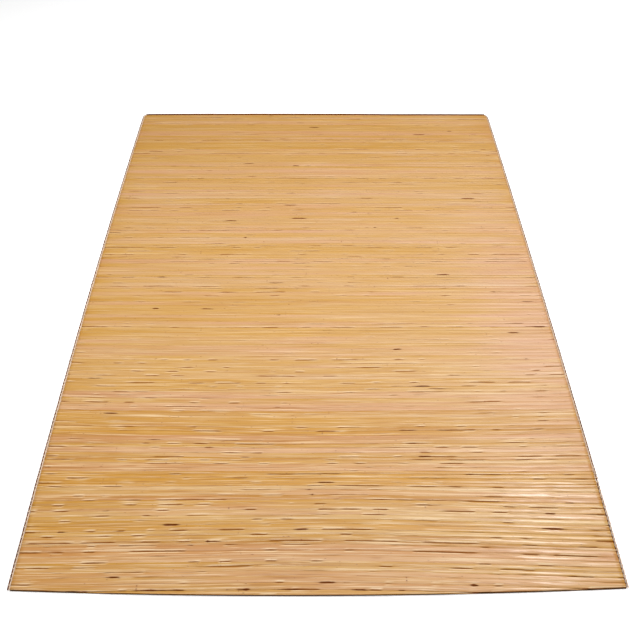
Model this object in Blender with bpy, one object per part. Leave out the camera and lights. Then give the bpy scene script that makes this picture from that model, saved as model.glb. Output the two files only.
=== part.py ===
"""Rattan floor mat: split canes laid side by side, flat side down, with a narrow edging down both long sides.

The canes are half-round: a flat sawn face underneath and the round glossy skin on top. Hidden threads run
through them from the near end to the far end and draw them tight against each other, so the field of canes
is one sheet. The mat lies flat, its origin is under the middle of its box, +X runs along the canes,
+Y from the near end to the far end and +Z up. Lengths are in metres.
"""

import math

import bpy
import numpy as np

# Driving dimensions
MAT_WIDTH = 1.200  # across both edgings, along the canes, at the widest
MAT_LENGTH = 1.800  # from the near cane to the far cane, at the longest
CANE_COUNT = 156
CANE_THICKNESS = 0.0045  # flat side to crown of a split cane
CANE_WIDTH_SPREAD = 0.20  # how much the canes differ in width, as a share of their mean width
CANE_WIDTH_LIMIT = 2.0  # no cane differs from the mean by more than this many spreads
CANE_WIDTH_SEED = 11
GROOVE_HEIGHT = 0.0022  # where two crowns meet, above the flat side
EDGING_WIDTH = 0.0065
EDGING_THICKNESS = 0.0050
EDGING_WALL = 0.0017  # upright foot of the edging, below its round top
PIECE_GAP = 0.0005  # between the cane ends and an edging

# How far the middle of each side stands out past its corners: the mat isn't a true rectangle
NEAR_BOW = 0.013
FAR_BOW = 0.002
LEFT_BOW = 0.009
RIGHT_BOW = 0.005

# The two far corners are rounded off: the long sides draw in towards the far end
CORNER_LENGTH = 0.022
CORNER_DEPTH = 0.010

# Fineness of the solids
CANE_STEPS = 4  # facets over one crown
FIELD_COLUMNS = 6  # facets along a cane
EDGING_STEPS = 6  # facets over the edging's round top
EDGING_ROWS = 30  # facets along an edging, up to its rounded corner
CORNER_ROWS = 8  # facets along an edging's rounded corner
SHARP_ANGLE = math.radians(50)  # edges sharper than this aren't shaded round

# Sizes that follow from the ones above
HALF_WIDTH = (MAT_WIDTH - LEFT_BOW - RIGHT_BOW) / 2  # at the corners
HALF_LENGTH = (MAT_LENGTH - NEAR_BOW - FAR_BOW) / 2  # at the corners
CENTRE_X = (RIGHT_BOW - LEFT_BOW) / 2
CENTRE_Y = (FAR_BOW - NEAR_BOW) / 2
CORNER_START = 1 - CORNER_LENGTH / HALF_LENGTH  # on the scale from -1 to 1 along the mat

CANE_COLOUR = (0.62, 0.35, 0.13, 1.0)
CANE_ROUGHNESS = 0.34
EDGING_COLOUR = (0.66, 0.56, 0.43, 1.0)
EDGING_ROUGHNESS = 0.80


def clear_scene():
    """Remove every object that the scene starts with."""
    for item in list(bpy.data.objects):
        bpy.data.objects.remove(item, do_unlink=True)


def plan(across, along, inset=0.0):
    """Points of the mat's plan: across and along run from -1 to 1, and each side bows out as a parabola.

    inset moves a point in from the nearer long side, measured along the canes. Each far corner is rounded
    by another parabola, which draws the long side in.
    """
    side_bow = np.where(across < 0, LEFT_BOW, RIGHT_BOW)
    corner = np.clip((along - CORNER_START) / (1 - CORNER_START), 0, 1)
    half_width = HALF_WIDTH + side_bow * (1 - along**2) - CORNER_DEPTH * corner**2 - inset
    end_bow = np.where(along < 0, NEAR_BOW, FAR_BOW)
    half_length = HALF_LENGTH + end_bow * (1 - across**2)
    return across * half_width - CENTRE_X, along * half_length - CENTRE_Y


def cane_edges():
    """Where each cane begins and ends along the mat, from -1 to 1: the canes differ in width."""
    spreads = np.random.default_rng(CANE_WIDTH_SEED).normal(size=CANE_COUNT)
    widths = 1 + CANE_WIDTH_SPREAD * np.clip(spreads, -CANE_WIDTH_LIMIT, CANE_WIDTH_LIMIT)
    edges = np.concatenate(([0.0], np.cumsum(widths)))
    return 2 * edges / edges[-1] - 1


def material(name, colour, roughness):
    """A plain surface of one colour."""
    made = bpy.data.materials.new(name)
    made.use_nodes = True
    shader = made.node_tree.nodes["Principled BSDF"]
    shader.inputs["Base Color"].default_value = colour
    shader.inputs["Roughness"].default_value = roughness
    shader.inputs["Metallic"].default_value = 0.0
    made.diffuse_color = colour
    return made


def add_object(name, points, faces, finish):
    """Make one named object from its points and faces, shaded smooth over the round crowns."""
    mesh = bpy.data.meshes.new(name)
    mesh.from_pydata(points, [], faces)
    mesh.validate()
    mesh.materials.append(finish)
    mesh.shade_smooth()
    mesh.set_sharp_from_angle(angle=SHARP_ANGLE)
    made = bpy.data.objects.new(name, mesh)
    bpy.context.scene.collection.objects.link(made)
    return made


def grid_faces(index, flipped=False):
    """Four-sided faces between neighbouring rows and columns of a grid of point numbers."""
    corners = (index[:-1, :-1], index[:-1, 1:], index[1:, 1:], index[1:, :-1])
    faces = np.stack(corners, axis=-1).reshape(-1, 4)
    if flipped:
        faces = faces[:, ::-1]
    return faces.tolist()


def cane_field(finish):
    """The sheet of canes: one half-round crown for each cane on top, and one flat face underneath.

    A row of points runs along every facet edge of the crowns, and a row under every groove.
    """
    inset = EDGING_WIDTH + PIECE_GAP
    across = np.linspace(-1, 1, FIELD_COLUMNS + 1)
    step = np.arange(CANE_COUNT * CANE_STEPS + 1)
    along = np.interp(step / CANE_STEPS, np.arange(CANE_COUNT + 1), cane_edges())
    turn = math.pi * (step % CANE_STEPS) / CANE_STEPS
    crown = GROOVE_HEIGHT + (CANE_THICKNESS - GROOVE_HEIGHT) * np.sin(turn)

    column, row = np.meshgrid(across, along)
    top_x, top_y = plan(column, row, inset)
    top_z = np.broadcast_to(crown[:, None], top_x.shape)
    top = np.stack((top_x, top_y, top_z), axis=-1)
    bottom = top[::CANE_STEPS].copy()
    bottom[..., 2] = 0.0

    points = np.concatenate((top.reshape(-1, 3), bottom.reshape(-1, 3)))
    top_index = np.arange(top_x.size).reshape(top_x.shape)
    bottom_index = np.arange(len(points) - top_index.size).reshape(-1, len(across)) + top_index.size

    faces = grid_faces(top_index) + grid_faces(bottom_index, flipped=True)
    near_wall = np.stack((bottom_index[0], top_index[0]))
    far_wall = np.stack((top_index[-1], bottom_index[-1]))
    faces += grid_faces(near_wall) + grid_faces(far_wall)
    for cane in range(CANE_COUNT):
        crown_rows = top_index[cane * CANE_STEPS : (cane + 1) * CANE_STEPS + 1]
        near_foot, far_foot = bottom_index[cane], bottom_index[cane + 1]
        faces.append([near_foot[0], *crown_rows[:, 0], far_foot[0]])
        faces.append([far_foot[-1], *crown_rows[::-1, -1], near_foot[-1]])
    return add_object("cane_field", points.tolist(), faces, finish)


def edging(name, side, finish):
    """A narrow bar with a flat underside and a round top, along one long side of the mat.

    side is -1 for the left one and 1 for the right one. Its section is a half-ellipse on short upright walls.
    """
    turn = np.linspace(0, math.pi, EDGING_STEPS + 1)
    round_inset = EDGING_WIDTH / 2 * (1 - np.cos(turn))
    round_height = EDGING_WALL + (EDGING_THICKNESS - EDGING_WALL) * np.sin(turn)
    inset = np.concatenate(([0.0], round_inset, [EDGING_WIDTH]))
    height = np.concatenate(([0.0], round_height, [0.0]))

    straight = np.linspace(-1, CORNER_START, EDGING_ROWS + 1)
    corner = np.linspace(CORNER_START, 1, CORNER_ROWS + 1)
    section_inset, row = np.meshgrid(inset, np.concatenate((straight, corner[1:])))
    x, y = plan(np.full_like(row, side), row, section_inset)
    z = np.broadcast_to(height, x.shape)
    points = np.stack((x, y, z), axis=-1).reshape(-1, 3)

    index = np.arange(x.size).reshape(x.shape)
    around = np.concatenate((index, index[:, :1]), axis=1)
    faces = grid_faces(around, flipped=side > 0)
    near_end, far_end = index[0].tolist(), index[-1].tolist()
    if side > 0:
        faces += [near_end, far_end[::-1]]
    else:
        faces += [near_end[::-1], far_end]
    return add_object(name, points.tolist(), faces, finish)


def main():
    """Build the mat."""
    clear_scene()
    cane = material("cane", CANE_COLOUR, CANE_ROUGHNESS)
    binding = material("binding", EDGING_COLOUR, EDGING_ROUGHNESS)
    cane_field(cane)
    edging("edging_left", -1, binding)
    edging("edging_right", 1, binding)


main()
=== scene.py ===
"""The looks of a rattan floor mat: split canes laid side by side, bound down both long sides.

Each cane is a half-round strip of its own, with a little wander, a roll to one side or the other, swollen
nodes and its own tone of honey, straw or rose. Down each long side run a pale twisted cord and a thin dark
one, bound on with pale thread. Lengths are in metres, +X runs along the canes and +Z points up.
"""

import logging
import math
from dataclasses import dataclass, field
from enum import Enum

import bpy
import numpy as np
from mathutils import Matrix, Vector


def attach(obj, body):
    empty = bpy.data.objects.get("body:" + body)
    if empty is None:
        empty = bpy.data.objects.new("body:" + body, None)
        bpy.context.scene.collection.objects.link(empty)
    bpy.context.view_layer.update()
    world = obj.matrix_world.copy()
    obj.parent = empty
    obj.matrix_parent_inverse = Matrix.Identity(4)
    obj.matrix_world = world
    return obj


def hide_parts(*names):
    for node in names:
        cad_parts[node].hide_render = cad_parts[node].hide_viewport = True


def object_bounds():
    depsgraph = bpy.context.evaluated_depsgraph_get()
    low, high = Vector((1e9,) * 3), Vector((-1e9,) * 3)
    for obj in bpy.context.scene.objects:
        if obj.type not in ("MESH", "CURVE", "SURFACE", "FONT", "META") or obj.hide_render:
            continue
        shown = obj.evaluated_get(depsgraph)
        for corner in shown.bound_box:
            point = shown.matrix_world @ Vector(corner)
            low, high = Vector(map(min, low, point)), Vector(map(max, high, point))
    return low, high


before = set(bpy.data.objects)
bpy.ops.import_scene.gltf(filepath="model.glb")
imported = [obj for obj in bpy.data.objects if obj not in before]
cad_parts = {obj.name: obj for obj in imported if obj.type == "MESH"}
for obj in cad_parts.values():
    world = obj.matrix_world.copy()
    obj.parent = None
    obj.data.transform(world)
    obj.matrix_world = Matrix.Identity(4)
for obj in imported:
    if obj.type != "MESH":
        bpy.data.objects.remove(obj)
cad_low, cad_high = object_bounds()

LOG = logging.getLogger("rattan_mat")
MILLIMETRE = 0.001
SHARP_ANGLE = 50.0
WANDER_REACH = 0.7
NEAR_FAR = np.array((-1.0, 1.0))[:, None, None, None]
Array = np.ndarray
Socket = bpy.types.NodeSocket
Material = bpy.types.Material
Colour = tuple[float, float, float, float]


def screen_colour(red: int, green: int, blue: int) -> Colour:
    """Turn a screen colour into the linear one that shaders take.

    Each channel follows the usual screen curve: a straight foot, then a power of 2.4.

    Args:
        red: Red from 0 to 255.
        green: Green from 0 to 255.
        blue: Blue from 0 to 255.

    Returns:
        The linear colour, with an alpha of 1.
    """
    level = np.array((red, green, blue)) / 255
    linear = np.where(level <= 0.04045, level / 12.92, ((level + 0.055) / 1.055) ** 2.4)
    return (*(float(channel) for channel in linear), 1.0)


def smooth_step(values: Array, low: float, high: float) -> Array:
    """Rise from 0 at low to 1 at high along the cubic 3t^2 - 2t^3."""
    t = np.clip((values - low) / (high - low), 0, 1)
    return t * t * (3 - 2 * t)


def bell(values: Array, middle: float, reach: float) -> Array:
    """Draw a bell: 1 at the middle, and 1/e at a reach away from it on either side."""
    return np.exp(-(((values - middle) / reach) ** 2))


# ---- Shader tools ----


class Channel:
    """One number that varies over a surface, with arithmetic that adds Math nodes."""

    def __init__(self, graph: "Graph", socket: Socket) -> None:
        """Hold a socket and the graph that it belongs to."""
        self.graph = graph
        self.socket = socket

    def maths(self, operation: str, *operands: "Channel | float") -> "Channel":
        """Put numbers through one Math node."""
        return self.graph.read("ShaderNodeMath", {"operation": operation}, dict(enumerate(operands)))

    def __add__(self, other: "Channel | float") -> "Channel":
        """Add."""
        return self.maths("ADD", self, other)

    def __sub__(self, other: "Channel | float") -> "Channel":
        """Subtract."""
        return self.maths("SUBTRACT", self, other)

    def __rsub__(self, other: float) -> "Channel":
        """Subtract from a plain number."""
        return self.maths("SUBTRACT", other, self)

    def __mul__(self, other: "Channel | float") -> "Channel":
        """Multiply."""
        return self.maths("MULTIPLY", self, other)

    def step(self, low: float, high: float) -> "Channel":
        """Rise smoothly from 0 to 1 as this number goes from low to high, and stay there past them."""
        sockets = {"Value": self, "From Min": low, "From Max": high}
        return self.graph.read("ShaderNodeMapRange", {"interpolation_type": "SMOOTHSTEP"}, sockets)


class Graph:
    """The nodes of one material, built from a Principled BSDF backwards."""

    def __init__(self, name: str) -> None:
        """Start a material with only its shader and its output."""
        self.material = bpy.data.materials.new(name)
        self.material.use_nodes = True
        self.tree = self.material.node_tree
        self.shader = self.tree.nodes["Principled BSDF"]

    def node(self, kind: str, settings: dict | None = None, sockets: dict | None = None) -> bpy.types.Node:
        """Add a node of any kind.

        Args:
            kind: Its type.
            settings: Its own properties.
            sockets: Input name or number to a plain value, a Channel or a socket.

        Returns:
            The node.
        """
        made = self.tree.nodes.new(kind)
        for key, value in (settings or {}).items():
            setattr(made, key, value)
        for key, value in (sockets or {}).items():
            self.feed(made.inputs[key], value)
        return made

    def feed(self, target: Socket, value: object) -> None:
        """Link a Channel or an output socket to an input, or set the input to a plain value."""
        if isinstance(value, Channel):
            value = value.socket
        if isinstance(value, Socket):
            self.tree.links.new(value, target)
        else:
            target.default_value = value

    def read(self, kind: str, settings: dict, sockets: dict | None = None, output: int | str = 0) -> Channel:
        """Add a node and read one of its outputs as a number."""
        return Channel(self, self.node(kind, settings, sockets).outputs[output])

    def attribute(self, name: str) -> Channel:
        """Read a number stored on the mesh's points."""
        return self.read("ShaderNodeAttribute", {"attribute_name": name}, output="Fac")

    def grain(self, name: str) -> tuple[Channel, Channel]:
        """Read a UV map as two lengths in metres: along the grain, and across it."""
        made = self.node("ShaderNodeUVMap", {"uv_map": name})
        parts = self.node("ShaderNodeSeparateXYZ", None, {0: made.outputs[0]})
        return Channel(self, parts.outputs["X"]), Channel(self, parts.outputs["Y"])

    def ramp(self, factor: Channel, stops: list[tuple[float, Colour]]) -> Socket:
        """Turn a number into a colour along a ramp.

        Args:
            factor: The number, from 0 to 1.
            stops: The ramp's places and colours.

        Returns:
            The colour.
        """
        made = self.node("ShaderNodeValToRGB", None, {"Fac": factor})
        elements = made.color_ramp.elements
        elements.remove(elements[-1])
        elements[0].position, elements[0].color = stops[0]
        for place, colour in stops[1:]:
            elements.new(place).color = colour
        return made.outputs["Color"]

    def blend(self, factor: Channel | float, first: object, second: object, way: str = "MIX") -> Socket:
        """Mix two colours by a factor from 0 to 1, in a way such as MULTIPLY for a tint."""
        settings = {"data_type": "RGBA", "clamp_factor": True, "blend_type": way}
        return self.node("ShaderNodeMix", settings, {0: factor, 6: first, 7: second}).outputs[2]

    def finish(self, sockets: dict, height: Channel | None = None) -> Material:
        """Feed the shader, with a bump if there is a height.

        Args:
            sockets: The shader's input names and their values, Channels or sockets.
            height: The relief in millimetres.

        Returns:
            The material.
        """
        for key, value in sockets.items():
            self.feed(self.shader.inputs[key], value)
        if height is not None:
            bump = self.node("ShaderNodeBump", None, {"Distance": MILLIMETRE, "Height": height})
            self.feed(self.shader.inputs["Normal"], bump.outputs[0])
        return self.material


# ---- Finishes ----


@dataclass(frozen=True)
class Place:
    """Where a point is on its strand: the lengths along and across it, and the strand's own number."""

    u: Channel
    v: Channel
    seed: Channel | float = 0.0


@dataclass(frozen=True)
class Pattern:
    """A pattern of marks along a strand, which shows where smooth noise is high.

    along and across are its blotches per metre, and shift sets it apart from others. It starts to show where
    the noise is over low, and has its full share where it is over high.
    """

    along: float
    across: float
    shift: float
    low: float = 0.0
    high: float = 1.0
    share: float = 1.0
    detail: float = 1.0

    def noise(self, g: Graph, place: Place) -> Channel:
        """Read the noise itself, in a space whose unit is one blotch.

        Args:
            g: The material's graph.
            place: Where the point is on its strand.

        Returns:
            The noise, from 0 to 1.
        """
        point = {"X": place.u * self.along, "Y": place.v * self.across, "Z": place.seed + self.shift}
        vector = g.node("ShaderNodeCombineXYZ", None, point).outputs[0]
        sockets = {"Vector": vector, "Scale": 1.0, "Detail": self.detail}
        return g.read("ShaderNodeTexNoise", {}, sockets, "Fac")

    def shown(self, noise: Channel) -> Channel:
        """Turn the noise into how strongly the pattern shows, from 0 to its share."""
        return noise.step(self.low, self.high) * self.share

    def mask(self, g: Graph, place: Place) -> Channel:
        """Read how strongly the pattern shows, from 0 to its share."""
        return self.shown(self.noise(g, place))


@dataclass(frozen=True)
class CaneSkin:
    """The glossy skin of a cane: its tones, fibres and streaks, seams, stains, specks and rings, with painted
    highlights, a painted glare and painted shade.
    """

    deep: Colour = screen_colour(184, 130, 50)
    honey: Colour = screen_colour(190, 141, 62)
    gold: Colour = screen_colour(195, 149, 80)
    straw: Colour = screen_colour(198, 155, 102)
    pale: Colour = screen_colour(204, 167, 128)
    rose: Colour = screen_colour(202, 150, 122)
    ochre: Colour = screen_colour(197, 145, 56)
    # The tint of the painted shade, multiplied into the colour.
    amber: Colour = (0.98, 0.86, 0.29, 1.0)
    # Pale colour of the painted highlights.
    painted_highlight: Colour = screen_colour(238, 208, 162)
    vein: Colour = screen_colour(158, 98, 22)
    seam_brown: Colour = screen_colour(134, 68, 0)
    # Stains along open joints; the same brown also lies under the painted shade at the mat's two ends.
    stain_and_end_shade_brown: Colour = screen_colour(118, 52, 0)
    # Dark brown of the painted shade on the outer flanks at the mat's two ends.
    end_shade_brown: Colour = screen_colour(72, 45, 12)

    slow: Pattern = Pattern(2.2, 0.0, 0.0, detail=2.0)
    patch: Pattern = Pattern(5.0, 130.0, 7.0, detail=2.0)
    drift: Pattern = Pattern(3.0, 50.0, 13.0, detail=2.0)
    fibre: Pattern = Pattern(30.0, 1500.0, 0.0, 0.45, 0.80, share=0.25, detail=3.0)
    strand: Pattern = Pattern(5.0, 480.0, 3.0, 0.52, 0.74, share=0.36)
    highlight_streak: Pattern = Pattern(5.0, 480.0, 23.0, 0.54, 0.72, share=0.34)
    fleck: Pattern = Pattern(12.0, 620.0, 41.0, 0.64, 0.76, share=0.90)
    glint_dash: Pattern = Pattern(11.0, 620.0, 61.0, 0.64, 0.76, share=0.90)
    shine_pattern: Pattern = Pattern(16.0, 90.0, 91.0, 0.38, 0.60, share=0.50)
    ragged: Pattern = Pattern(55.0, 500.0, 29.0)
    speck: Pattern = Pattern(95.0, 300.0, 51.0, 0.74, 0.79, share=0.70)
    scar: Pattern = Pattern(2.6, 260.0, 67.0, 0.58, 0.66, share=0.70)
    polish: Pattern = Pattern(15.0, 280.0, 71.0, 0.36, 0.56)
    ripple: Pattern = Pattern(34.0, 80.0, 81.0, detail=2.0)

    tone_change: float = 0.70
    rosiness: float = 0.60
    painted_shade: float = 0.65
    plainness: float = 0.90
    seam_strength: float = 0.85
    stain_and_end_shade_strength: float = 0.95
    ring_strength: float = 0.06
    roughness: float = 0.50
    dirt_roughness: float = 0.30
    polished_roughness: float = 0.18
    coat: float = 0.88
    coat_roughness: float = 0.50

    def tones(self, g: Graph, place: Place, front: Channel) -> Socket:
        """Colour the ground: a tone for each cane that drifts along it, between golden and rosy.

        Args:
            g: The material's graph.
            place: Where the point is on its cane.
            front: How marked the canes are here.

        Returns:
            The colour.
        """
        changes = (self.slow.noise(g, place) - 0.5) + (self.patch.noise(g, place) - 0.5)
        level = g.attribute("tone") + changes * self.tone_change
        stops = [(0.0, self.deep), (0.28, self.honey), (0.5, self.gold), (0.75, self.straw), (1.0, self.pale)]
        drift = self.drift.noise(g, place) - 0.5
        warmth = g.attribute("hue") + drift * (front * 0.5 + 0.9)
        golden = (1.0 - warmth).step(0.50, 1.05) * (front * 0.2 + 0.6)
        ground = g.blend(golden, g.ramp(level, stops), self.ochre)
        ground = g.blend(warmth.step(0.48, 1.0) * self.rosiness, ground, self.rose)
        # Painted shade: the amber tint darkens and deepens the gold toward the far end and the near corners.
        return g.blend(g.attribute("shade_tint") * self.painted_shade, ground, self.amber, "MULTIPLY")

    def rings(self, g: Graph, place: Place) -> Channel:
        """Read the faint dark ring at each node, half a millimetre to 2.5 wide, with a darker scar in it."""
        ring = 1.0 - g.attribute("node").step(0.5 * MILLIMETRE, 2.5 * MILLIMETRE)
        return ring * self.scar.mask(g, place) + ring * self.ring_strength

    def build(self) -> Material:
        """Make the material.

        Returns:
            The material, which reads the canes' UV map and their points' numbers.
        """
        g = Graph("cane_skin")
        place = Place(*g.grain("grain"), g.attribute("seed"))
        front = g.attribute("front")
        bold = front + self.plainness
        fibre, strand = self.fibre.noise(g, place), self.strand.noise(g, place)

        stain_and_end_shade, ragged = g.attribute("stain_and_end_shade"), self.ragged.noise(g, place) - 0.5
        seam_mask = (g.attribute("seam") + ragged * 0.5).step(0.22, 0.85)
        stain_and_end_shade_mask = (stain_and_end_shade + ragged * 0.6).step(0.3, 0.7)
        colour = self.tones(g, place, front)
        for mask, paint in (
            (self.fibre.shown(fibre), self.deep),
            (self.strand.shown(strand) * bold, self.vein),
            # The pale marks here are painted highlights: long streaks, short glints, and a shine beside deep
            # or open joints.
            (self.highlight_streak.mask(g, place) * bold, self.painted_highlight),
            (self.fleck.mask(g, place) * front, self.vein),
            (self.glint_dash.mask(g, place) * front, self.painted_highlight),
            (g.attribute("shine") * self.shine_pattern.mask(g, place) * bold, self.painted_highlight),
            (seam_mask * self.seam_strength, self.seam_brown),
            # These two paint real stains along open joints, and painted shade on the outer flanks at the
            # mat's two ends.
            (stain_and_end_shade_mask * self.stain_and_end_shade_strength, self.stain_and_end_shade_brown),
            ((stain_and_end_shade + ragged * 0.8).step(1.0, 1.8), self.end_shade_brown),
            (self.speck.mask(g, place), self.seam_brown),
            (self.rings(g, place), self.seam_brown),
        ):
            colour = g.blend(mask, colour, paint)

        clean = (1.0 - seam_mask) * (1.0 - stain_and_end_shade_mask)
        polish = self.polish.mask(g, place) * clean * (front.step(0.82, 1.0) * 0.8 + 0.1)
        gloss = polish * (self.polished_roughness - self.roughness)
        sockets = {
            "Base Color": colour,
            "Roughness": (1.0 - clean) * self.dirt_roughness + gloss + self.roughness,
            "Coat Weight": clean * self.coat,
            "Coat Roughness": self.coat_roughness,
            "Specular IOR Level": 0.10,
        }
        return g.finish(sockets, fibre * 0.03 - strand * 0.07 + self.ripple.noise(g, place) * 0.24)


@dataclass(frozen=True)
class CaneFlesh:
    """The sawn flat side and the cut ends of a cane: dull, pale and full of pores."""

    light: Colour = screen_colour(206, 172, 124)
    dark: Colour = screen_colour(150, 110, 68)
    pores: Pattern = Pattern(60.0, 2200.0, 0.0, 0.42, 0.70, share=0.70, detail=3.0)
    patch: Pattern = Pattern(6.0, 150.0, 5.0, detail=2.0)
    roughness: float = 0.85

    def build(self) -> Material:
        """Make the material, whose pores are drawn out along the cane."""
        g = Graph("cane_flesh")
        place = Place(*g.grain("grain"), g.attribute("seed"))
        pores = self.pores.noise(g, place)
        share = self.pores.shown(pores) + (self.patch.noise(g, place) - 0.5) * 0.4
        sockets = {"Base Color": g.blend(share, self.light, self.dark), "Roughness": self.roughness}
        return g.finish(sockets, pores * 0.12)


@dataclass(frozen=True)
class CordFinish:
    """Spun cord or thread: fine fibres along a twist, with a worn, dusty surface."""

    name: str
    light: Colour
    dark: Colour
    fibres: Pattern = Pattern(900.0, 500.0, 0.0, 0.35, 0.70, share=0.55, detail=3.0)
    soil: Pattern = Pattern(25.0, 60.0, 4.0, 0.40, 0.70, share=0.35, detail=2.0)
    lean: float = 1.5556
    roughness: float = 0.80

    def build(self) -> Material:
        """Make the material, whose fibres lean by so much along the cord for each length across it."""
        g = Graph(self.name)
        u, v = g.grain("grain")
        fibres = self.fibres.noise(g, Place(u + v * self.lean, v))
        share = self.fibres.shown(fibres) + self.soil.mask(g, Place(u, v))
        colour = g.blend(share, self.light, self.dark)
        sockets = {"Base Color": colour, "Roughness": self.roughness, "Specular IOR Level": 0.2}
        return g.finish(sockets, fibres * 0.25)


@dataclass(frozen=True)
class FloorFinish:
    """A plain white studio floor, lit a little from below."""

    paint: Colour = (0.86, 0.86, 0.86, 1.0)
    glow: float = 0.42

    def build(self) -> Material:
        """Make the matt white surface."""
        g = Graph("studio_floor")
        sockets = {
            "Base Color": self.paint,
            "Roughness": 0.9,
            "Specular IOR Level": 0.1,
            "Emission Color": (1.0, 1.0, 1.0, 1.0),
            "Emission Strength": self.glow,
        }
        return g.finish(sockets)


# ---- Meshes ----


def join(*parts: Array) -> Array:
    """Join coordinates into points, spread to one shape first."""
    return np.stack(np.broadcast_arrays(*parts), axis=-1)


def add_object(name: str, data: bpy.types.ID) -> bpy.types.Object:
    """Add an object to the scene."""
    made = bpy.data.objects.new(name, data)
    bpy.context.scene.collection.objects.link(made)
    return made


@dataclass
class Surface:
    """Tubes of one section each, all with the same number of rings, joined in one mesh.

    points has one row for each tube, ring and place round the ring. The UV map "grain" holds lengths in
    metres along and round each tube, and values holds the numbers that the finishes read. Both may be given
    for fewer tubes, rings or places, and are then spread over them.
    """

    points: Array
    grain: Array
    values: dict[str, Array] = field(default_factory=dict)
    base_sides: tuple[int, ...] = ()

    def faces(self) -> tuple[Array, Array]:
        """Number the corners of every face.

        Returns:
            Four-sided faces between neighbouring rings, and one many-sided cap at each end of each tube.
        """
        tubes, rings, places = self.points.shape[:3]
        index = np.arange(tubes * rings * places).reshape(tubes, rings, places)
        ahead = np.roll(index, -1, axis=2)
        corners = (index[:, :-1], index[:, 1:], ahead[:, 1:], ahead[:, :-1])
        sides = np.stack(corners, axis=-1).reshape(-1, 4)
        caps = np.concatenate((index[:, 0], index[:, -1, ::-1]))
        return sides, caps

    def build(self, name: str, finishes: list[Material]) -> bpy.types.Object:
        """Make the mesh and its object, shaded round wherever faces meet at less than SHARP_ANGLE degrees.

        Args:
            name: The piece's name.
            finishes: The side's material, and then the one for caps and base sides, if that differs.

        Returns:
            The object, at the origin.
        """
        sides, caps = self.faces()
        mesh = bpy.data.meshes.new(name)
        mesh.from_pydata(self.points.reshape(-1, 3), [], sides.tolist() + caps.tolist())
        shape = self.points.shape[:3]
        if len(finishes) > 1:
            base = np.isin(np.arange(len(sides)) % shape[2], self.base_sides)
            index = np.concatenate((base, np.ones(len(caps), bool))).astype(np.int32)
            mesh.polygons.foreach_set("material_index", index)
        for finish in finishes:
            mesh.materials.append(finish)
        corner = np.empty(len(mesh.loops), np.int32)
        mesh.loops.foreach_get("vertex_index", corner)
        grain = np.broadcast_to(self.grain, (*shape, 2)).reshape(-1, 2)[corner]
        mesh.uv_layers.new(name="grain").data.foreach_set("uv", grain.astype(np.float32).ravel())
        for key, numbers in self.values.items():
            stored = mesh.attributes.new(key, "FLOAT", "POINT")
            stored.data.foreach_set("value", np.broadcast_to(numbers, shape).astype(np.float32).ravel())
        mesh.shade_smooth()
        mesh.set_sharp_from_angle(angle=math.radians(SHARP_ANGLE))
        return add_object(name, mesh)


@dataclass(frozen=True)
class MatPlan:
    """The mat's plan, a rectangle whose four sides each bow out a little, in the frame's box."""

    low: tuple[float, float]
    high: tuple[float, float]
    near_bow: float = 0.013
    far_bow: float = 0.002
    left_bow: float = 0.009
    right_bow: float = 0.005
    corner_length: float = 0.022
    corner_depth: float = 0.010
    edging_width: float = 0.0056
    piece_gap: float = 0.0004

    @property
    def half_width(self) -> float:
        """Half the width at the corners."""
        return (self.high[0] - self.low[0] - self.left_bow - self.right_bow) / 2

    @property
    def half_length(self) -> float:
        """Half the length at the corners."""
        return (self.high[1] - self.low[1] - self.near_bow - self.far_bow) / 2

    @property
    def centre(self) -> tuple[float, float]:
        """The point midway between the corners."""
        return (self.left_bow - self.right_bow) / 2, (self.near_bow - self.far_bow) / 2

    def side(self, sign: int, along: Array, inset: Array | float) -> Array:
        """Place of a long side: its half-width plus a parabola of its bow, less one at the far corner.

        Args:
            sign: -1 for the left side and 1 for the right one.
            along: Places from -1 at the near end to 1 at the far end.
            inset: How far inside the side.

        Returns:
            The x of each place.
        """
        bow = self.left_bow if sign < 0 else self.right_bow
        corner = np.clip(1 - (1 - along) * self.half_length / self.corner_length, 0, 1)
        half = self.half_width + bow * (1 - along**2) - self.corner_depth * corner**2
        return sign * (half - inset) + self.centre[0]

    def line(self, along: Array, x: Array) -> Array:
        """Place of a line across the mat, which bows as its nearer end does.

        Args:
            along: Which line, from -1 at the near end to 1 at the far end.
            x: Where on the line.

        Returns:
            The y of each place.
        """
        bow = np.where(along < 0, self.near_bow, self.far_bow)
        across = (x - self.centre[0]) / self.half_width
        return along * (self.half_length + bow * (1 - across**2)) + self.centre[1]


@dataclass(frozen=True)
class Wander:
    """Smooth random numbers along rows: knots at even steps, joined by the cubic 3t^2 - 2t^3."""

    knots: Array
    step: float

    @classmethod
    def draw(cls, rng: np.random.Generator, rows: int, step: float) -> "Wander":
        """Draw knots from 0 to 1, a step apart, over WANDER_REACH to either side of the middle."""
        return cls(rng.uniform(0, 1, (rows, int(2 * WANDER_REACH / step) + 3)), step)

    def at(self, rows: Array, x: Array) -> Array:
        """Read the numbers at places along the rows, whose index and x are in the same shape."""
        middle = (self.knots.shape[1] - 1) / 2
        place = x / self.step + middle + self.knots[rows, 0]
        knot = np.clip(np.floor(place).astype(int), 0, self.knots.shape[1] - 2)
        t = smooth_step(place - knot, 0, 1)
        return self.knots[rows, knot] * (1 - t) + self.knots[rows, knot + 1] * t


@dataclass(frozen=True)
class Zone:
    """A change that comes in smoothly from a first place to a second one, up to an amount."""

    amount: float
    start: float
    end: float

    def at(self, places: Array) -> Array:
        """Read how much of the change there is at each place."""
        return self.amount * smooth_step(places, self.start, self.end)


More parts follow.
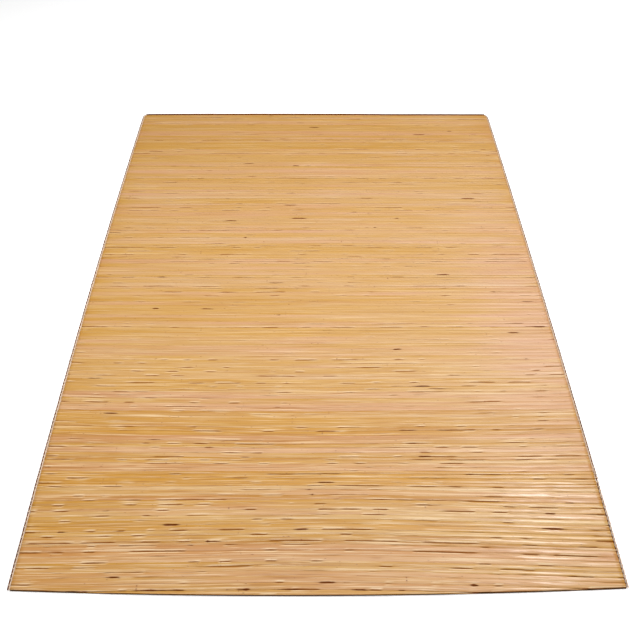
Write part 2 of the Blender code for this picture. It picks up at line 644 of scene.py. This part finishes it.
@dataclass(frozen=True)
class WearAndLightZones:
    """How the canes vary over the mat, in zones along x and y: real variety and marks, a painted shade tint
    and a painted glare.
    """

    # Zones of the painted shade tint.
    far_shade: Zone = Zone(0.27, 0.35, 0.88)
    near_shade: Zone = Zone(1.0, -0.20, -0.92)
    left_shade: Zone = Zone(0.18, -0.25, -0.6)
    marked: Zone = Zone(1.0, 0.10, -0.72)
    # Where a painted glare makes the canes paler and rosier on the right.
    painted_glare: Zone = Zone(1.0, 0.30, 0.56)
    far_rose: Zone = Zone(0.12, 0.45, 0.85)
    far_variety: Zone = Zone(0.1, 0.1, 0.6)
    near_variety: Zone = Zone(1.4, -0.2, -0.6)
    near_calm: Zone = Zone(0.30, -0.1, -0.5)
    right_calm: Zone = Zone(0.45, 0.0, 0.45)

    def painted_shade(self, x: Array, y: Array) -> Array:
        """How much painted shade deepens the canes' gold: by the far end, and more so by the near corners,
        the left one most.
        """
        near = self.near_shade.at(y) * (1.3 - 0.2 * bell(x, 0.0, 0.3))
        return self.far_shade.at(y) + near * (1.0 + self.left_shade.at(x))


@dataclass(frozen=True)
class Bundle:
    """Where the canes of one bundle lie: a row for each cane and a column for each station along it.

    The joints beside each cane come in pairs, in the directions that NEAR_FAR gives. foot is a joint's y,
    and depth, opening and cut are how deep it is, how far open, and whether the near end cuts it off, from
    0 to 1.
    """

    cane: Array
    x: Array
    from_nodes: Array
    foot: Array
    depth: Array
    opening: Array
    cut: Array


@dataclass(frozen=True)
class Section:
    """The cross-section of a cane: a crown between two shoulders, two short flanks and a flat side."""

    crown: float = 0.0044
    high_shoulder: float = 0.0040
    low_shoulder: float = 0.0031
    underside: float = 0.0001
    joint_width: float = 0.0001
    groove_width: float = 0.0001
    opening_width: float = 0.0006
    node_swelling: float = 0.00012
    node_reach: float = 0.008
    full_height_width: float = 0.004
    end_size: float = 0.86
    places: tuple[float, ...] = (-1.0, -0.84, -0.55, -0.19, 0.19, 0.55, 0.84, 1.0, 1.25, -1.25)

    def middles(self, bundle: Bundle) -> tuple[Array, Array]:
        """Find each cane's middle and half its width; the shoulders draw back from a deep or open joint."""
        gap = self.joint_width / 2 + self.groove_width * bundle.depth + self.opening_width * bundle.opening
        near, far = bundle.foot - NEAR_FAR[..., 0] * gap
        return (near + far) / 2, (far - near) / 2

    def points(self, bundle: Bundle, height: Array, roll: Array) -> tuple[Array, Array]:
        """Raise the sections, whose last two places are the feet of the flanks.

        The crown rises from the line between the shoulders as (1 - |t|^2.3)^0.75 for t from -1 to 1 across
        the cane. A shoulder is the lower the deeper the groove beside it is, the crown leans by the roll,
        and each node swells it by a bell. Neighbouring flat sides meet at the joint's line.

        Args:
            bundle: Where the canes lie.
            height: The share of the full crown that each cane has.
            roll: Each cane's roll, as a slope, at each station.

        Returns:
            The y and z of each place of the section, at each station of each cane.
        """
        t = np.array(self.places[:-2])
        dome = (1 - np.abs(t) ** 2.3) ** 0.75
        groove = (bundle.depth[..., None] * (1 + NEAR_FAR * t) / 2).sum(axis=0)
        shoulder = self.high_shoulder - (self.high_shoulder - self.low_shoulder) * groove
        swelling = bell(bundle.from_nodes, 0.0, self.node_reach).sum(axis=-1)
        top = self.low_shoulder + (self.crown - self.low_shoulder) * height + self.node_swelling * swelling
        centre, half = self.middles(bundle)
        lean = roll[..., None] * half[..., None] * t
        top_z = shoulder + (top[..., None] - shoulder) * dome + lean * (0.35 + 0.65 * dome)
        foot_y = np.stack((bundle.foot[1], bundle.foot[0]), axis=-1)
        y = np.concatenate((centre[..., None] + half[..., None] * t, foot_y), axis=-1)
        z = np.concatenate((top_z, np.full_like(foot_y, self.underside)), axis=-1)
        size = np.ones((bundle.x.shape[1], 1))
        size[[0, -1]] = self.end_size
        tall = np.clip(2 * half / self.full_height_width, 0.25, 1)[..., None]
        y = centre[..., None] + (y - centre[..., None]) * size
        return y, self.underside + (z - self.underside) * size * tall


@dataclass
class CaneField:
    """The canes: where each lies, how it wanders and rolls, and the bundles that they are joined in.

    waves are the long slanting waves they share: a size, the turns per metre along x and y, and a phase.
    """

    plan: MatPlan
    section: Section = Section()
    wear_and_light: WearAndLightZones = WearAndLightZones()
    count: int = 156
    width_spread: float = 0.20
    width_limit: float = 2.0
    width_seed: int = 11
    seed: int = 5
    stations: int = 160
    chamfer: float = 0.0007
    internode: float = 0.27
    sway_size: float = 0.0005
    sliver: float = 0.0003
    openings: int = 330
    batch_size: float = 4.0
    right_fan: Zone = Zone(0.041, 0.0, 0.9)
    left_fan: Zone = Zone(0.020, -0.05, -0.8)
    near_fan: Zone = Zone(1.0, -0.48, -0.76)
    waves: tuple = ((0.0005, 1.3, 0.4, 0.3), (0.0003, -2.3, 1.3, 1.9), (0.0002, 3.9, 2.4, 4.0))
    bundles: tuple[str, ...] = ("canes_near", "canes_middle", "canes_far")

    def __post_init__(self) -> None:
        """Draw every random number that the canes need, in one fixed order."""
        spreads = np.random.default_rng(self.width_seed).normal(size=self.count)
        widths = 1 + self.width_spread * np.clip(spreads, -self.width_limit, self.width_limit)
        edges = np.concatenate(([0.0], np.cumsum(widths)))
        self.edges = 2 * edges / edges[-1] - 1
        rng = np.random.default_rng(self.seed)
        lines = self.count + 1
        self.sway = Wander.draw(rng, lines, 0.16)
        self.groove = rng.uniform(0, 1, lines)
        self.groove_short = Wander.draw(rng, lines, 0.030)
        self.groove_long = Wander.draw(rng, lines, 0.12)
        self.frayed = rng.uniform(0, 1, (lines, 2))
        self.opening_line = 1 + ((self.count - 1) * rng.uniform(0, 1, self.openings) ** 1.8).astype(int)
        self.opening_place = rng.uniform(-0.59, 0.59, self.openings)
        self.opening_half = rng.uniform(0.005, 0.026, self.openings)
        self.opening_size = rng.uniform(0, 1, self.openings) ** 2.7
        self.trim = rng.uniform(0.0, 0.5, (self.count, 2)) * MILLIMETRE
        self.node_start = rng.uniform(0, 1, (self.count, 1))
        self.node_spacing = self.internode * rng.uniform(0.8, 1.25, (self.count, 1))
        self.node_jitter = rng.normal(0, 0.02, (self.count, 7))
        self.roll = rng.normal(0, 0.028, self.count)
        self.roll_change = Wander.draw(rng, self.count, 0.11)
        self.height = rng.uniform(0.88, 1.0, (self.count, 1))
        self.tone = rng.normal(0.0, 0.18, self.count)
        self.hue = rng.uniform(0, 1, self.count) - 0.5
        self.number = rng.uniform(0, 900, self.count)
        self.grain_start = rng.uniform(0, 5, self.count)
        self.worn = rng.uniform(0, 0.6, (self.count, 2))
        batch = np.arange(self.count) / self.batch_size
        knots = np.arange(int(batch[-1]) + 2)
        self.tone += np.interp(batch, knots, rng.normal(0, 0.14, len(knots)))
        self.hue += np.interp(batch, knots, rng.normal(0, 0.11, len(knots)))

    def free_line(self, index: Array, x: Array) -> Array:
        """Find where a joint would run if the mat had no near end.

        It is the plan's line, bent towards the near end in a soft fan by each near corner, plus a sum of
        waves that the canes share and a sway of its own.

        Args:
            index: The joint's number, one row for each joint.
            x: Places along it, in the same rows.

        Returns:
            The y of each place.
        """
        straight = self.plan.line(self.edges[index], x)
        y = straight - (self.right_fan.at(x) + self.left_fan.at(x)) * self.near_fan.at(straight)
        for size, along_x, along_y, phase in self.waves:
            y = y + size * np.sin(2 * math.pi * (along_x * x + along_y * straight) + phase)
        return y + self.sway_size * (self.sway.at(index, x) - 0.5)

    def near_limit(self, index: Array, x: Array) -> Array:
        """Find how far towards the near end a joint may run: the plan's end, and a sliver for each cane."""
        return self.plan.line(np.float64(-1.0), x) + self.sliver * index

    def line(self, index: Array, x: Array) -> Array:
        """Find where a joint runs. The near end keeps it inside, so some canes there end in a slant."""
        return np.maximum(self.free_line(index, x), self.near_limit(index, x))

    def cut(self, index: Array, x: Array) -> Array:
        """Say whether the near end cuts a joint off, from 0 to 1; it always does for the first."""
        spare = self.free_line(index, x) - self.near_limit(index, x)
        return np.maximum(1 - smooth_step(spare, 0.0, 0.002), index == 0)

    def depth(self, index: Array, x: Array) -> Array:
        """Work out how deep and dark the groove over a joint is.

        It has a steady depth, strokes that come and go, and a rise or fall of its own at each end.

        Args:
            index: The joint's number, one row for each joint.
            x: Places along it, in the same rows.

        Returns:
            The depth at each place, from 0 to 1.
        """
        groove = self.groove[index]
        front = self.wear_and_light.marked.at(self.plan.line(self.edges[index], x))
        steady = (0.55 - 0.15 * front) * groove**2
        stroke = (0.85 + 1.05 * front) * smooth_step(self.groove_short.at(index, x), 0.52, 0.92)
        stroke = (0.3 + 0.7 * groove) * stroke * (0.3 + self.groove_long.at(index, x))
        end = np.where(x < 0, self.frayed[index, 0], self.frayed[index, 1]) - 0.45
        return np.clip(steady + stroke + 1.2 * end * self.end_share(x, 0.022), 0, 1)

    def end_share(self, x: Array, reach: float) -> Array:
        """Fade from 1 at the ends of the canes as exp(-distance / reach)."""
        return np.exp(-(self.plan.half_width - np.abs(x)) / reach)

    def opening(self, index: Array, x: Array) -> Array:
        """Work out how far a joint stands open, from 0 to 1: a few short stretches, each exp(-distance^4)."""
        shape = self.opening_size * np.exp(-(((x[..., None] - self.opening_place) / self.opening_half) ** 4))
        return (shape * (self.opening_line == index[..., None])).max(axis=-1)

    def lay(self, first: int, last: int) -> Bundle:
        """Lay the canes from first up to last.

        A cane's stations are evenly spaced, with a chamfer at each end, and its nodes have a little jitter.

        Args:
            first: The first cane's number.
            last: One past the last cane's number.

        Returns:
            Where they lie.
        """
        cane = np.arange(first, last)[:, None]
        middle = (self.edges[cane] + self.edges[cane + 1]) / 2
        inset = self.plan.edging_width + self.plan.piece_gap
        low = self.plan.side(-1, middle, inset) + self.trim[first:last, :1]
        high = self.plan.side(1, middle, inset) - self.trim[first:last, 1:]
        even = np.linspace(0, 1, self.stations - 2)
        inner = low + self.chamfer + (high - low - 2 * self.chamfer) * even
        x = np.concatenate((low, inner, high), axis=1)
        steps = self.node_start[first:last] - 1 + np.arange(self.node_jitter.shape[1])
        nodes = low + self.node_spacing[first:last] * steps + self.node_jitter[first:last]
        joints = np.stack((cane, cane + 1))
        measures = (read(joints, x) for read in (self.line, self.depth, self.opening, self.cut))
        return Bundle(cane, x, x[..., None] - nodes[:, None, :], *measures)

    def tints(self, bundle: Bundle) -> dict[str, Array]:
        """Work out the numbers that tint each cane at each station.

        The canes differ most by the near end. A painted glare makes a patch on the right paler and rosier, a
        band across the middle is painted lighter, and painted shade deepens the gold by the far end and the
        near corners.

        Args:
            bundle: Where the canes lie.

        Returns:
            The finishes' numbers by name.
        """
        cane, x, zones = bundle.cane, bundle.x, self.wear_and_light
        y = self.section.middles(bundle)[0]
        worn = np.where(x < 0, self.worn[cane[:, 0], :1], self.worn[cane[:, 0], 1:])
        painted_glare = zones.painted_glare.at(x) * bell(y, -0.15, 0.45)
        variety = 0.45 + zones.far_variety.at(y) + zones.near_variety.at(y)
        calm = (1 - zones.near_calm.at(y)) * (1 - zones.right_calm.at(x))
        # Painted light: a lighter band across the middle, and the painted glare on the right, paler and
        # rosier.
        painted_light = 0.08 * bell(y, 0.25, 0.30) + 0.04 * painted_glare
        rosier = 0.38 * painted_glare + zones.far_rose.at(y)
        return {
            "tone": 0.5 + self.tone[cane] * variety + painted_light - worn * self.end_share(x, 0.03),
            "hue": 0.5 + self.hue[cane] * variety * calm + rosier,
            "shade_tint": zones.painted_shade(x, y) * (1 - 0.25 * self.hue[cane]),
            "front": zones.marked.at(y),
            "seed": self.number[cane],
            "node": np.abs(bundle.from_nodes).min(axis=-1),
        }

    def marks(self, bundle: Bundle) -> dict[str, Array]:
        """Work out the marks beside the joints.

        A seam fades across the cane as t^3 and stains as t^1.8, and a painted highlight is a bell a little
        way up the crown. A value of 2 paints shade on a flank that the near end cuts, and the far end's flank
        gets painted shade of up to 1.5.

        Args:
            bundle: Where the canes lie.

        Returns:
            The finishes' numbers by name.
        """
        across = NEAR_FAR * np.array(self.section.places)
        rim = np.clip(across, 0, 1) ** 3
        depth, opening, cut = (part[..., None] for part in (bundle.depth, bundle.opening, bundle.cut))
        # Painted shade: 2 on flanks that the near end cuts, and up to 1.5 on the last cane's far half.
        stain_and_end_shade = (opening * rim**0.6 + 2 * cut * (across >= 1)).sum(axis=0)
        far_end = (across[1] > -0.3) * 0.9 + (across[1] > 0.1) * 0.6
        is_last = (bundle.cane == self.count - 1)[..., None]
        edge = smooth_step(np.maximum(depth, 0.6 * opening), 0.25, 0.9)
        return {
            "seam": (depth * rim).sum(axis=0),
            "stain_and_end_shade": np.maximum(stain_and_end_shade, is_last * far_end),
            "shine": (edge * bell(across, 0.62, 0.22)).sum(axis=0),
        }

    def surface(self, bundle: Bundle) -> Surface:
        """Work out the surface of a bundle, with its finishes' numbers.

        Args:
            bundle: Where the canes lie.

        Returns:
            The surface.
        """
        cane = bundle.cane
        roll = self.roll[cane] + 0.06 * (self.roll_change.at(cane, bundle.x) - 0.5)
        y, z = self.section.points(bundle, self.height[cane[:, 0]], roll)
        values = {name: numbers[..., None] for name, numbers in self.tints(bundle).items()}
        across = self.section.middles(bundle)[1][..., None] * np.array(self.section.places)
        grain = join((bundle.x + self.grain_start[cane])[..., None], across)
        flat_side = (len(self.section.places) - 2,)
        return Surface(join(bundle.x[..., None], y, z), grain, values | self.marks(bundle), flat_side)

    def build(self, skin: Material, flesh: Material) -> list[bpy.types.Object]:
        """Args:
            skin: The finish of the crowns.
            flesh: The finish of the flat sides and the cut ends.

        Returns:
            The bundles, from the near end to the far end.
        """
        cuts = np.linspace(0, self.count, len(self.bundles) + 1).astype(int)
        made = []
        for name, first, last in zip(self.bundles, cuts[:-1], cuts[1:]):
            piece = self.surface(self.lay(first, last)).build(name, [skin, flesh])
            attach(piece, "root")
            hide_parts("cane_field")
            made.append(piece)
        return made


class Side(Enum):
    """The mat's two long sides."""

    LEFT = -1
    RIGHT = 1


@dataclass(frozen=True)
class Cord:
    """A cord: its size, and how far inside the side it lies before the crossing and after it.

    It rises by its lift over the crossing, and gets thinner between the joints after it.
    """

    half_width: float
    half_height: float
    insets: tuple[float, float]
    lift: float = 0.0
    thinning: float = 0.0


@dataclass(frozen=True)
class Thread:
    """The binding's thread: how many turns a joint has, and the arc that each turn follows over the cords."""

    radius: float = 0.00035
    turns: int = 3
    pitch: float = 0.0009
    half_width: float = 0.0028
    half_height: float = 0.0022
    reach_spread: float = 0.02
    arc: tuple[float, float] = (-28.0, 205.0)
    stops: int = 11
    sides: int = 6
    lift: float = 0.0016
    jitter: float = 0.00015
    lean: float = 0.0009
    lean_spread: float = 0.0003
    seed: int = 31


@dataclass
class Edging:
    """One long side's edging: a pale cord and a dark one beside it, bound to the canes with pale thread.

    The dark cord is the outer one. If crossing gives two places along the mat, it passes over the pale cord
    between them, and nearer it is the inner one: a row of knots, one in each joint, with binding in between.
    """

    plan: MatPlan
    canes: CaneField
    side: Side
    crossing: tuple[float, float] | None = None
    pale_cord: Cord = Cord(0.0012, 0.0020, (0.0042, 0.0018))
    dark_cord: Cord = Cord(0.0014, 0.0017, (0.0015, 0.0048), lift=0.0026, thinning=0.45)
    thread: Thread = Thread()
    clearance: float = 0.0002
    knot_reach: float = 0.0019
    lay: float = 0.016
    rings: int = 1600
    sides: int = 12
    end_reach: float = 0.003

    @property
    def name(self) -> str:
        """The side's name in lower case."""
        return self.side.name.lower()

    def route(self, along: Array, inset: Array | float) -> tuple[Array, Array]:
        """Find a line at a distance inside the plan's side, with a slight waver: the sum of two sines.

        Args:
            along: Places from -1 at the near end to 1 at the far end.
            inset: How far inside the side, for each place.

        Returns:
            The x and y of each place.
        """
        x = self.plan.side(self.side.value, along, inset)
        waver = 0.00012 * np.sin(along * 61 + self.side.value) + 0.00008 * np.sin(along * 143)
        return x + waver, self.plan.line(along, x)

    def joints(self) -> Array:
        """Find where the joints meet this side, but for those that the near end cuts off.

        Returns:
            The places along the side, from -1 to 1.
        """
        index = np.arange(1, self.canes.count)
        x = self.plan.side(self.side.value, self.canes.edges[index], self.plan.edging_width)
        kept = self.canes.cut(index, x) < 0.5
        return (self.canes.line(index, x)[kept] - self.plan.centre[1]) / self.plan.half_length

    def crossed(self, along: Array) -> Array:
        """How far the dark cord has come in: 0 on the outer side, 1 on the inner one, by a smooth step."""
        if self.crossing is None:
            return np.zeros_like(along)
        return 1 - smooth_step(along, *self.crossing)

    def twisted(self, cord: Cord) -> Surface:
        """Lay a twisted cord down the side.

        Its section is an ellipse, whose radius is 0.90 plus 0.12 of |cos| of the angle less the twist. Past
        the crossing it thins out away from the joints, as 1 less exp(-distance^4), and both ends taper.

        Args:
            cord: Its size and place.

        Returns:
            The cord.
        """
        along = np.linspace(-0.999, 0.999, self.rings)
        crossed = self.crossed(along)
        x, y = self.route(along, cord.insets[0] * (1 - crossed) + cord.insets[1] * crossed)
        z = cord.half_height + self.clearance + cord.lift * 4 * crossed * (1 - crossed)
        turn = -np.linspace(0, 2 * math.pi, self.sides, endpoint=False)
        twist = 2 * math.pi * y / self.lay
        radius = 0.90 + 0.12 * np.abs(np.cos(turn - twist[:, None]))
        away = np.abs(along[:, None] - self.joints()).min(axis=1) * self.plan.half_length
        thin = 1 - np.exp(-((away / self.knot_reach) ** 4))
        radius = radius * (1 - cord.thinning * crossed * thin)[:, None]
        end = np.clip((1 - np.abs(along)) / self.end_reach, 0.25, 1)[:, None] ** 0.5
        px = x[:, None] + cord.half_width * radius * end * np.cos(turn)
        pz = z[:, None] + cord.half_height * radius * end * np.sin(turn)
        return Surface(join(px, y[:, None], pz)[None], join(y[:, None], -turn * cord.half_width)[None])

    def binding(self) -> Surface:
        """Bind the cords: at each joint between canes, or beside it past the crossing, turns over both cords.

        A turn is an arc of an ellipse, from deep in the joint over the top to the outer foot, and a round
        thread is carried along it.

        Returns:
            The turns.
        """
        thread, outward = self.thread, self.side.value
        joints = self.joints()
        crossed = self.crossed(joints)
        joints = joints + crossed * np.diff(joints, append=joints[-1]) / 2
        x, y = self.route(joints, self.plan.edging_width / 2)
        step = (np.arange(thread.turns) - (thread.turns - 1) / 2) * thread.pitch
        start_y = (y[:, None] + step).ravel()
        centre_x = np.repeat(x, thread.turns)[:, None]
        crossed = np.repeat(crossed, thread.turns)[:, None]
        rng = np.random.default_rng(thread.seed + outward)
        start_y = start_y + rng.normal(0, thread.jitter, start_y.shape)
        lean = rng.normal(thread.lean, thread.lean_spread, start_y.shape)
        reach = 1 + rng.normal(0, thread.reach_spread, start_y.shape)[:, None]

        angle = np.linspace(*(math.radians(degrees) for degrees in thread.arc), thread.stops)
        rise = thread.half_height * reach + thread.lift * 4 * crossed * (1 - crossed)
        path_x = centre_x - outward * (thread.half_width * reach) * np.cos(angle)
        path_z = thread.half_height + self.clearance / 2 + rise * np.sin(angle)
        path_z = np.maximum(path_z, thread.radius + self.clearance)
        path_y = start_y[:, None] + lean[:, None] * np.linspace(-1, 1, thread.stops)

        turn = np.linspace(0, 2 * math.pi, thread.sides, endpoint=False) * -outward
        ring_out = thread.radius * np.cos(turn)
        px = path_x[..., None] - outward * np.cos(angle)[:, None] * ring_out
        py = path_y[..., None] + thread.radius * 1.1 * np.sin(turn)
        pz = path_z[..., None] + np.sin(angle)[:, None] * ring_out
        around = np.linspace(0, 4 * MILLIMETRE, thread.sides)
        return Surface(join(px, py, pz), join((angle * thread.half_width)[:, None], around))

    def build(self, pale: Material, dark: Material) -> list[bpy.types.Object]:
        """Args:
            pale: The finish of the pale cord and of the binding.
            dark: The finish of the dark cord.

        Returns:
            The three pieces.
        """
        pieces = [
            self.twisted(self.pale_cord).build(f"pale_cord_{self.name}", [pale]),
            self.twisted(self.dark_cord).build(f"dark_cord_{self.name}", [dark]),
            self.binding().build(f"binding_{self.name}", [pale]),
        ]
        for piece in pieces:
            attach(piece, "root")
            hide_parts(f"edging_{self.name}")
        return pieces


# ---- Studio ----


@dataclass(frozen=True)
class SoftBox:
    """A rectangular soft light that points at a target."""

    name: str
    place: tuple[float, float, float]
    target: tuple[float, float, float]
    size: tuple[float, float]
    power: float
    spread: float = 180.0

    def build(self) -> None:
        """Hang the light, with its front turned to the target."""
        lamp = bpy.data.lights.new(self.name, "AREA")
        lamp.shape = "RECTANGLE"
        lamp.size, lamp.size_y = self.size
        lamp.energy = self.power
        lamp.spread = math.radians(self.spread)
        made = add_object(self.name, lamp)
        made.location = self.place
        x, y, z = np.array(self.place) - np.array(self.target)
        made.rotation_euler = (math.atan2(math.hypot(x, y), z), 0, math.atan2(x, -y))


@dataclass
class Studio:
    """The floor, the lights, the room's soft light and the camera."""

    floor_half: float = 9.0
    floor_drop: float = 0.0004
    room_light: float = 0.18
    lens: float = 47.11
    sensor_width: float = 36.0
    camera_place: tuple[float, float, float] = (-0.0102, -1.6971, 1.4678)
    camera_turn: tuple[float, float, float] = (46.754, -0.322, -0.407)
    lights: tuple[SoftBox, ...] = (
        SoftBox("window", (1.56, 1.38, 3.45), (0.3, -0.4, 0.0), (0.35, 0.5), 107.0),
        SoftBox("ceiling", (-0.42, -0.06, 3.2), (-0.42, -0.06, 0.0), (2.4, 1.0), 16.9, spread=80.0),
        SoftBox("doorway", (2.6, 4.4, 2.7), (0.4, 0.2, 0.0), (1.4, 1.4), 8.0),
    )

    def floor(self) -> None:
        """Lay the floor just under the mat."""
        mesh = bpy.data.meshes.new("floor")
        half, level = self.floor_half, -self.floor_drop
        corners = [(-half, -half, level), (half, -half, level), (half, half, level), (-half, half, level)]
        mesh.from_pydata(corners, [], [(0, 1, 2, 3)])
        mesh.materials.append(FloorFinish().build())
        add_object("floor", mesh)

    def camera(self) -> None:
        """Set up the camera above the near end, looking down the mat."""
        data = bpy.data.cameras.new("camera")
        data.lens = self.lens
        data.sensor_width = self.sensor_width
        made = add_object("camera", data)
        made.location = self.camera_place
        made.rotation_euler = tuple(math.radians(angle) for angle in self.camera_turn)
        bpy.context.scene.camera = made

    def build(self) -> None:
        """Make the floor, the lights, the room and the camera."""
        self.floor()
        for light in self.lights:
            light.build()
        world = bpy.data.worlds.new("room")
        world.use_nodes = True
        backdrop = world.node_tree.nodes["Background"]
        backdrop.inputs["Color"].default_value = (1.0, 1.0, 1.0, 1.0)
        backdrop.inputs["Strength"].default_value = self.room_light
        bpy.context.scene.world = world
        bpy.context.scene.view_settings.view_transform = "Standard"
        self.camera()


def main() -> None:
    """Build the mat and the studio round it."""
    logging.basicConfig(level=logging.INFO, format="%(message)s")
    plan = MatPlan(low=(cad_low[0], cad_low[1]), high=(cad_high[0], cad_high[1]))
    canes = CaneField(plan)
    pieces = canes.build(CaneSkin().build(), CaneFlesh().build())
    pale = CordFinish("pale_cord", screen_colour(238, 216, 194), screen_colour(204, 172, 140)).build()
    dark = CordFinish("dark_cord", screen_colour(122, 66, 20), screen_colour(54, 26, 6)).build()
    pieces += Edging(plan, canes, Side.LEFT).build(pale, dark)
    pieces += Edging(plan, canes, Side.RIGHT, crossing=(-0.75, -0.68)).build(pale, dark)
    for piece in pieces:
        LOG.info("%s: %d faces", piece.name, len(piece.data.polygons))
    Studio().build()


if __name__ == "__main__":
    main()
